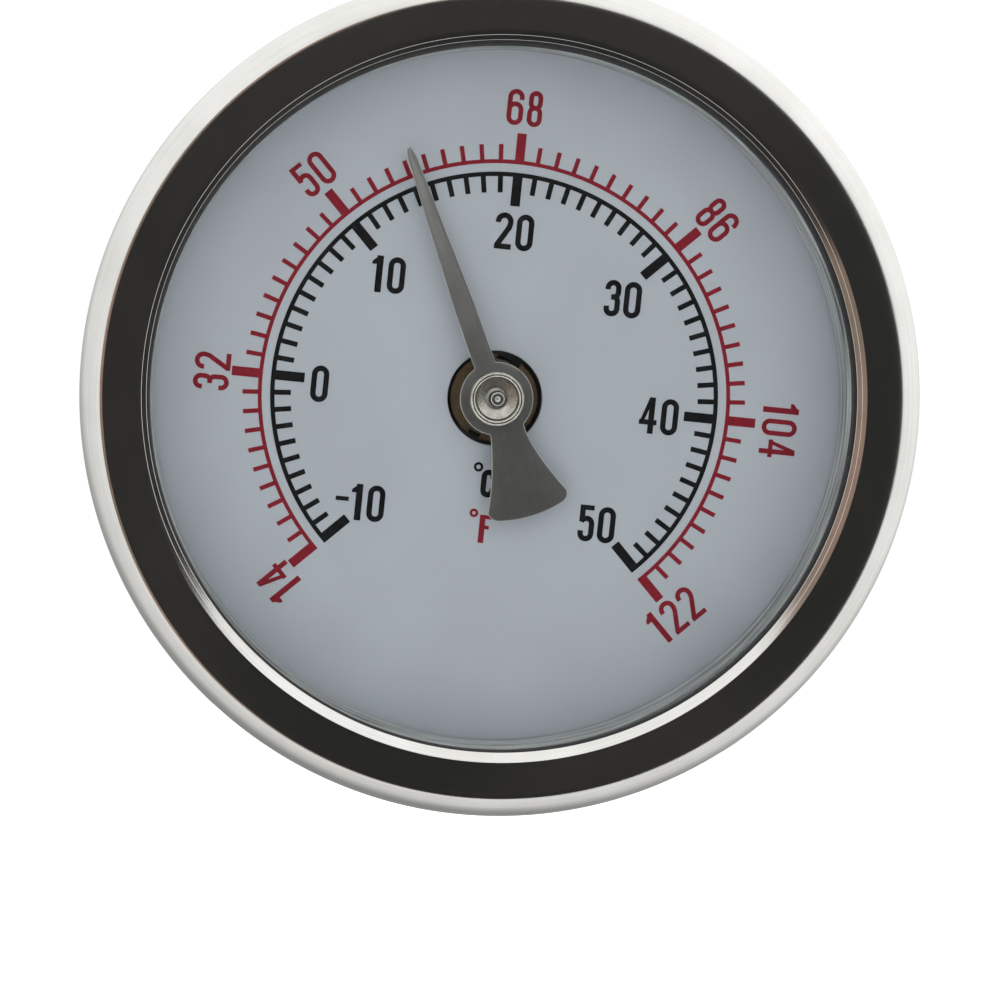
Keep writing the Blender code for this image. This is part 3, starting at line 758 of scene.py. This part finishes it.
def make_spacer():
    """Moulded ring with a chamfer at the front, two shallow grooves in its bore and a step at the dial."""
    low, high = box_mm("spacer_ring")
    inner, step_depth, step_length, groove_depth, groove_half, lead = 26.3, 0.3, 0.45, 0.07, 0.1, 0.25
    step, step_end = inner + step_depth, high.y - step_length
    profile = [(inner + lead, low.y, 0.06), (high.x, low.y, 0.15), (high.x, high.y, 0.15)]
    profile += [(step, high.y), (step, step_end, 0.05), (inner, step_end - 0.15, 0.03)]
    for place in (0.62, 0.30):
        station = low.y + (high.y - low.y) * place
        profile += [
            (inner, station + groove_half, 0.03),
            (inner + groove_depth, station, 0.04),
            (inner, station - groove_half, 0.03),
        ]
    profile.append((inner, low.y + lead, 0.06))
    clamped("spacer_ring", profile, "spacer_plastic")


def make_dial():
    """Sheet with a hole for the guide bush."""
    low, high = box_mm("dial_plate")
    hole = 3.63
    turned("dial_plate", ring(hole, high.x, low.y, high.y, 0.07), "dial_paint", "housing", steps=HEAD_STEPS)


def make_case():
    """Drawn cup with soft bends, a pressed step behind the ledge and a rolled flange."""
    low, high = box_mm("case_shell")
    back, front = high.y, low.y
    sheet, pot, seat, hub = 0.7, 27.3, 29.3, 6.3  # thickness, outer radii of the cup and seat, hole
    ledge = front + 4.1
    profile = [
        (hub, back, 0.1), (pot, back, 2.5),
        (pot, ledge + sheet, 0.35), (seat, ledge + sheet, 0.6), (seat, front + sheet, 0.3),
        (high.x, front + sheet, 0.2), (high.x, front, 0.2), (seat - sheet, front, 0.9),
        (seat - sheet, ledge, 0.15), (pot - sheet, ledge, 0.8), (pot - sheet, back - sheet, 1.8),
        (hub, back - sheet, 0.1),
    ]
    turned("case_shell", profile, "case_steel", "housing", steps=HEAD_STEPS)


# Connector and stem


def hexagon_radii(flats, high):
    """Radius at each angle of a hexagon with slightly rounded corners, turned as the CAD's box says."""
    first_corner = 0.0 if high.z > high.x else 30.0
    angles = np.degrees(np.arange(THREAD_STEPS) * math.tau / THREAD_STEPS) - first_corner
    off = np.radians((angles % 60.0) - 30.0)
    sharpness = 90.0
    facing = [np.cos(off + math.radians(k)) for k in (-60, 0, 60)]
    total = sum(np.maximum(f, 0.0) ** sharpness for f in facing)
    return flats / 2 / total ** (1 / sharpness)


def thread_rows(start, end, crest, depth, pitch, fade_start=0.0, fade_end=0.0):
    """Rows of a helical thread. crest gives the radius at a station; the groove fades out at either end."""
    per_pitch = 12
    crest_flat, flank = 0.08, 0.80  # as shares of half a pitch
    count = max(2, int(round((end - start) / pitch * per_pitch)))
    turn = np.arange(THREAD_STEPS) / THREAD_STEPS
    rows = []
    for y in np.linspace(start, end, count + 1):
        phase = (y / pitch - turn) % 1.0
        groove = np.clip((np.abs(2 * phase - 1) - crest_flat) / flank, 0.0, 1.0)
        fade = np.clip((y - start) / fade_start, 0, 1) if fade_start else 1.0
        radius = crest(y) - depth * groove * fade
        if fade_end:
            chamfer = crest(y) - depth + np.clip((end - y) / fade_end, 0, 1) * depth
            radius = np.minimum(radius, chamfer)
        rows.append((radius, y))
    return rows


def stack_rows(rows):
    """(radii, stations) arrays from rows whose parts are numbers or arrays round the axis."""
    radii = np.array([np.broadcast_to(r, THREAD_STEPS) for r, _ in rows], float)
    stations = np.array([np.broadcast_to(y, THREAD_STEPS) for _, y in rows], float)
    return radii, stations


def hexagon_rows(radii, inner, front, rear, flats):
    """Rows down a hexagon whose ends are turned to a chamfer circle."""
    circle = 0.965 * flats / 2
    drop = np.maximum(radii - circle, 0.0) * math.tan(math.radians(30))
    shy = 0.06
    return [
        (inner, front), (circle - 0.15, front), (np.minimum(circle, radii), front + 0.03),
        (radii - shy, front + drop + 0.03), (radii, front + drop + 2 * shy),
        (radii, rear - drop - 2 * shy), (radii - shy, rear - drop - 0.03),
        (np.minimum(circle, radii), rear - 0.03), (circle - 0.15, rear), (inner, rear),
    ]


def make_connector():
    """Spigot, hexagon, taper thread and weld bead, in one bored piece."""
    low, high = box_mm("process_connector")
    front, end = low.y, high.y
    flats, length, bore = 27.0, 7.0, 3.1
    spigot, spigot_depth, spigot_pitch, plain = 6.0, 0.9, 1.5, 1.6  # plain: left smooth by the hexagon
    end_radius, depth, pitch, run_out, chamfer = 10.33, 1.38, 1.814, 1.8, 1.3
    bead_place, bead_radius = 3.72, 0.62

    def taper(y):
        return end_radius + (end - y) / 32

    rows = [(bore, front + 0.2), (bore + 0.2, front)]
    threaded = thread_rows(front, -length - plain, lambda y: spigot, spigot_depth, spigot_pitch)
    rows += [(np.minimum(r, spigot - 0.8 + (y - front)), y) for r, y in threaded]
    rows += [(spigot, -length - plain + 0.05), (spigot, -length - 0.1)]
    rows += hexagon_rows(hexagon_radii(flats, high), spigot + 0.2, -length, 0.0, flats)[:-1]
    neck = taper(0.0)
    rows += [(neck + 0.15, 0.0), (neck, 0.15), (neck, 0.55)]
    rows += thread_rows(0.6, end - 0.05, taper, depth, pitch, run_out, chamfer)
    rows += [(taper(end) - 1.5, end), (bead_place + bead_radius + 0.01, end)]
    rows += arc((bead_place, end), bead_radius, 0, 180, 8)[1:-1] + [(bore, end - 0.02)]
    shape = revolve(*stack_rows(rows))
    add_piece("process_connector", *shape, "stem_steel", "housing", ("process_connector",))


def make_nut():
    """Hexagon nut with a plain bore, chamfered at both ends."""
    low, high = box_mm("connector_nut")
    flats, bore, lead = 19.0, 6.1, 0.35
    rows = hexagon_rows(hexagon_radii(flats, high), bore + lead, low.y, high.y, flats)
    rows += [(bore, high.y - lead), (bore, low.y + lead)]
    add_piece("connector_nut", *revolve(*stack_rows(rows)), "zinc_steel", "housing", ("connector_nut",))


def make_washers():
    """The seal behind the case and the washer under the nut."""
    spigot_hole = 6.1
    washers = (("case_seal_washer", "grey_fibre", 0.25), ("lock_washer", "spring_steel", 0.12))
    for name, finish, fillet in washers:
        low, high = box_mm(name)
        turned(name, ring(spigot_hole, high.x, low.y, high.y, fillet), finish, "housing")


def make_stem():
    """Tube, and its rounded tip."""
    low, high = box_mm("stem_tube")
    turned("stem_tube", ring(2.5, high.x, low.y, high.y, 0.06), "stem_steel", "housing")
    low, high = box_mm("stem_tip_plug")
    spigot, outer, shoulder = 2.4, 3.0, high.y - 2.0
    tip = [
        (POLE, low.y), (spigot, low.y, 0.15), (spigot, shoulder - 0.05), (outer, shoulder - 0.2, 0.05),
        (outer, shoulder + 0.15, 0.1), (outer, high.y, 1.5), (POLE, high.y),
    ]
    turned("stem_tip_plug", tip, "stem_steel", "housing", closed=False)


def make_guides():
    """The shaft's two guides, the front one with notches in its flange, and the coil's anchor."""
    bore = 0.6
    low, high = box_mm("lower_guide_bush")
    turned("lower_guide_bush", ring(bore, high.x, low.y, high.y, 0.15), "brass", "housing")
    low, high = box_mm("upper_guide_bush")
    flange, barrel, notch_root = 0.6, 2.4, 2.45
    guide = [
        (bore, low.y, 0.1), (high.x, low.y, 0.1), (high.x, low.y + flange, 0.1),
        (barrel, low.y + flange, 0.05), (barrel, high.y, 0.15), (bore, high.y, 0.1),
    ]
    bush = turned("upper_guide_bush", guide, "brass", "housing")
    for angle, half in ((16.0, 0.95), (203.0, 0.5)):
        verts, faces = block((-half, low.y - 1.0, notch_root), (half, low.y + flange + 0.01, 5.0))
        spin = Matrix.Rotation(math.radians(angle), 3, "Y")
        cut(bush, [spin @ Vector(v) for v in verts], faces)
    low, high = box_mm("helix_anchor")
    post, head = 1.6, high.y - 2.5
    anchor = [
        (POLE, low.y), (post, low.y, 0.15), (post, head),
        (high.x, head, 0.1), (high.x, high.y, 0.2), (POLE, high.y),
    ]
    turned("helix_anchor", anchor, "brass", "housing", closed=False)


def make_coil():
    """Bimetal strip wound on edge, which twists between its anchor and the shaft."""
    low, high = box_mm("bimetal_helix")
    outer, thick, width, pitch, turns = high.x, 0.25, 1.8, 2.5, 10.5
    per_turn = 64
    section = rounded(ring(outer - thick, outer, 0.0, width, 0.06))
    count = int(turns * per_turn)
    verts = []
    for step in range(count + 1):
        angle = COIL_START + step * math.tau / per_turn
        rise = low.y + pitch * step / per_turn
        verts += [(r * math.sin(angle), rise + y, r * math.cos(angle)) for r, y in section]
    faces = loft(len(section), count + 1)
    coil = add_piece("bimetal_helix", verts, faces, "bimetal", None, ("bimetal_helix",))
    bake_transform(coil)


# Movement


def pointer_half():
    """Right half of the pointer as (across, along) points, from its tip to the middle of its tail."""
    hub, tip, arm_end, tail = 2.8, 20.1, 7.25, 9.35  # from the axis
    tip_half, tip_length = 0.13, 0.75
    arm_half, point_half, neck_half, tail_half, corner = 0.83, 0.34, 1.34, 3.15, 0.85
    arm_angle = math.degrees(math.asin(arm_half / hub))
    neck_angle = 180 - math.degrees(math.asin(neck_half / hub))
    corner_reach = tail - corner
    corner_angle = math.asin((tail_half - corner) / corner_reach)
    centre = (tail_half - corner, -corner_reach * math.cos(corner_angle))
    end_angle = -90 + math.degrees(corner_angle)
    neck = hub * math.cos(math.radians(neck_angle))
    flare = []
    for step in range(1, 14):
        along = step / 14
        flare.append((neck_half + (tail_half - neck_half) * along**1.5, neck + (centre[1] - neck) * along))
    return (
        [(tip_half, tip), (point_half, tip - tip_length), (arm_half, arm_end)]
        + arc((0, 0), hub, 90 - arm_angle, 90 - neck_angle, 24)
        + flare
        + arc(centre, corner, 0, end_angle, 8)
        + arc((0, 0), tail, end_angle, -90, 10)[1:]
    )


def make_pointer():
    """Stamped sheet with a fine rounded edge."""
    low, high = box_mm("pointer")
    half = pointer_half()
    outline = np.array(half + [(-x, z) for x, z in reversed(half[:-1])])
    bend_start, bend_length = 2.0, 1.5  # the bend comes in below the hub's middle
    bend = math.radians(TAIL_BEND) * np.clip((-outline[:, 1] - bend_start) / bend_length, 0.0, 1.0)
    x, z = outline.T
    outline = np.stack([x * np.cos(bend) + z * np.sin(bend), z * np.cos(bend) - x * np.sin(bend)], axis=1)
    ahead, back = np.roll(outline, -1, axis=0) - outline, outline - np.roll(outline, 1, axis=0)
    normals = ahead / np.linalg.norm(ahead, axis=1)[:, None] + back / np.linalg.norm(back, axis=1)[:, None]
    normals = normals[:, ::-1] * (1, -1)
    normals /= np.linalg.norm(normals, axis=1)[:, None]
    narrow, narrow_from = 0.3, 19.0  # the fillet shrinks where the tip is too narrow for it
    room = np.minimum(1.0, np.abs(outline[:, :1]) / narrow + (np.abs(outline[:, 1:]) < narrow_from))
    edge = 0.08
    steps = [0.0, 22.5, 45.0, 67.5, 90.0]
    rows = [(1 - math.sin(math.radians(a)), low.y + edge * (1 - math.cos(math.radians(a)))) for a in steps]
    rows += [(inset, high.y - (y - low.y)) for inset, y in reversed(rows)]
    turn = Matrix.Rotation(math.radians(POINTER_ANGLE), 3, "Y")
    verts = []
    for inset, y in rows:
        moved = outline + normals * inset * edge * room
        verts += [turn @ Vector((x, y, z)) for x, z in moved]
    faces = loft(len(outline), len(rows))
    add_piece("pointer", verts, faces, "pointer_metal", "movement", ("pointer",), sharp=50.0)


def make_bush():
    """Turned flange with a raised rim, a dished face and a barrel pressed through the pointer."""
    low, high = box_mm("pointer_bush")
    bore, flange, recess, dish, barrel = 0.62, 0.5, 0.2, 0.2, 1.4
    bead = 0.26  # half the width of the rim's round bead
    outer = high.x + 0.06
    rim = outer - 2 * bead
    profile = [(bore, low.y + recess + dish, 0.04), (rim - 0.04, low.y + recess, 0.03)]
    profile += arc((outer - bead, low.y + bead), bead, 180, 360, 14)
    profile += [
        (outer, low.y + flange, 0.08), (barrel, low.y + flange, 0.04),
        (barrel, high.y, 0.12), (bore, high.y, 0.06),
    ]
    turned("pointer_bush", profile, "bush_metal", "movement")


def make_shaft():
    """Shaft with a centre dimple in its tip, and its two collars."""
    low, high = box_mm("pointer_shaft")
    dimple_depth, dimple_radius = 0.14, 0.2
    shaft = [
        (POLE, low.y + dimple_depth), (dimple_radius, low.y, 0.05),
        (high.x, low.y, 0.12), (high.x, high.y, 0.15), (POLE, high.y),
    ]
    turned("pointer_shaft", shaft, "stem_steel", "movement", closed=False)
    bore = 0.62
    for name, fillet in (("shaft_collar", 0.15), ("helix_collar", 0.12)):
        low, high = box_mm(name)
        turned(name, ring(bore, high.x, low.y, high.y, fillet), "brass", "movement")


# Stage


def image_axes():
    """The picture's right and up in the object's frame. The dial is rolled clockwise in it."""
    roll = math.radians(ROLL)
    right = Vector((math.cos(roll), 0.0, math.sin(roll)))
    up = Vector((-math.sin(roll), 0.0, math.cos(roll)))
    return right, up


def make_camera():
    """Camera in front of the bezel, a little to the left and above, which looks a little low."""
    right, up = image_axes()
    target = (Vector((0.0, AIM_STATION, 0.0)) + right * CAMERA_AIM[0] + up * CAMERA_AIM[1]) * MM
    side, rise = math.radians(CAMERA_SIDE), math.radians(CAMERA_RISE)
    away = Vector((0.0, -1.0, 0.0)) * math.cos(side) * math.cos(rise)
    away += -right * math.sin(side) * math.cos(rise) + up * math.sin(rise)
    place = target + away * CAMERA_DISTANCE * MM
    ahead = -away
    across = ahead.cross(up).normalized()
    above = across.cross(ahead)
    dip = Matrix.Rotation(math.radians(-CAMERA_LOOKS_LOW), 3, across)
    ahead, above = dip @ ahead, dip @ above
    turn = Matrix((across, above, -ahead)).transposed()
    data = bpy.data.cameras.new("camera")
    data.sensor_width = 36.0
    data.lens = FOCAL
    data.clip_start = 0.01
    camera = link_object("camera", data)
    camera.matrix_world = Matrix.Translation(place) @ turn.to_4x4()
    bpy.context.scene.camera = camera


def spot(tree, way, direction, inner, outer):
    """1 within an angle of a direction, falling to 0 at a wider one."""
    facing = vector_node(tree, "DOT_PRODUCT", way, direction, out="Value")
    low, high = math.cos(math.radians(outer)), math.cos(math.radians(inner))
    return ramp(tree, facing, low, high, 0.0, 1.0, smooth=True)


def make_world():
    """White tent, brighter at the top right and dimmer low down behind. The camera sees plain white."""
    world = bpy.data.worlds.new("tent")
    bpy.context.scene.world = world
    world.use_nodes = True
    tree = world.node_tree
    background = tree.nodes["Background"]
    way = vector_node(tree, "NORMALIZE", add(tree, "TexCoord").outputs["Generated"])
    brightest, dimmest, dimmed = (0.34, -0.12, 0.93), (-0.1, 0.75, -0.65), 0.4
    lean = vector_node(tree, "DOT_PRODUCT", way, brightest, out="Value")
    level = ramp(tree, lean, -1.0, 1.0, 0.95, 1.62)
    behind = spot(tree, way, dimmest, 15.0, 80.0)
    level = math_node(tree, "MULTIPLY", level, ramp(tree, behind, 0.0, 1.0, 1.0, dimmed))
    tree.links.new(level, background.inputs["Strength"])
    background.inputs["Color"].default_value = (1.0, 1.0, 0.99, 1.0)
    plain = add(tree, "Background", {"Color": (1.0, 1.0, 1.0, 1.0), "Strength": 1.02})
    seen = add(tree, "LightPath").outputs["Is Camera Ray"]
    both = add(tree, "MixShader", {0: seen, 1: background.outputs[0], 2: plain.outputs[0]})
    tree.links.new(both.outputs[0], tree.nodes["World Output"].inputs["Surface"])


def make_card(name, distance, centre, radius, colours, grain):
    """A round card beside the camera, which only reflections see, placed right and up in the picture."""
    right, up = image_axes()
    steps = 96
    middle = Vector((0.0, AIM_STATION - distance, 0.0)) + right * centre[0] + up * centre[1]
    rim = [middle + right * x + up * y for x, y in arc((0, 0), radius, 0, 360, steps)[:-1]]
    mesh = mesh_mm(name, rim, [tuple(range(steps))])
    made, tree, shader, where = new_material(name, 0.0, 0.9)
    cloud = ramp(tree, noise(tree, where, grain, 3.0), 0.38, 0.66, 0.0, 1.0, smooth=True)
    tree.links.new(mix(tree, cloud, *colours), shader.inputs["Base Color"])
    clear = add(tree, "BsdfTransparent").outputs[0]
    bounced = add(tree, "LightPath").outputs["Diffuse Depth"]  # light for matt surfaces passes the card
    both = add(tree, "MixShader", {0: bounced, 1: shader.outputs[0], 2: clear})
    tree.links.new(both.outputs[0], tree.nodes["Material Output"].inputs["Surface"])
    mesh.materials.append(made)
    card = link_object(name, mesh)
    card.visible_camera = False
    card.visible_shadow = False


def make_cards():
    """A dark card round the camera, and a brown one behind it that shows past its left edge."""
    dark = ((0.012, 0.012, 0.012), (0.024, 0.022, 0.020))
    brown = ((0.34, 0.225, 0.175), (0.22, 0.17, 0.13))
    make_card("dark_card", 246.0, (40.0, -38.0), 108.0, dark, 0.012)
    make_card("brown_card", 252.0, (0.0, -40.0), 111.0, brown, 0.02)


def make_floor():
    """Pale floor well below the thermometer, which hangs from its thread."""
    depth, size = 400.0, 3000.0
    corners = [(-size, -size, 0.0), (size, -size, 0.0), (size, size, 0.0), (-size, size, 0.0)]
    mesh = mesh_mm("floor", corners, [(0, 1, 2, 3)])
    made, tree, shader, where = new_material("floor", 0.0, 0.6)
    shade = mix(tree, noise(tree, where, 0.02), (0.90, 0.90, 0.90), (0.93, 0.93, 0.93))
    tree.links.new(shade, shader.inputs["Base Color"])
    shader.inputs["Emission Color"].default_value = (1.0, 1.0, 1.0, 1.0)
    shader.inputs["Emission Strength"].default_value = 0.25
    mesh.materials.append(made)
    floor = link_object("floor", mesh)
    floor.location = (0.0, 0.0, -depth * MM)
    floor.visible_glossy = False


DIAL_FACE = box_mm("dial_plate")[0].y
FINISHES = make_finishes()

bpy.context.scene.view_settings.view_transform = "Standard"
for make in (
    make_camera, make_world, make_cards, make_floor,
    make_bezel, make_gaskets, make_window, make_spacer, make_dial, print_dial, make_case,
    make_connector, make_nut, make_washers, make_stem, make_guides, make_coil,
    make_pointer, make_bush, make_shaft,
):
    make()

bpy.context.view_layer.update()
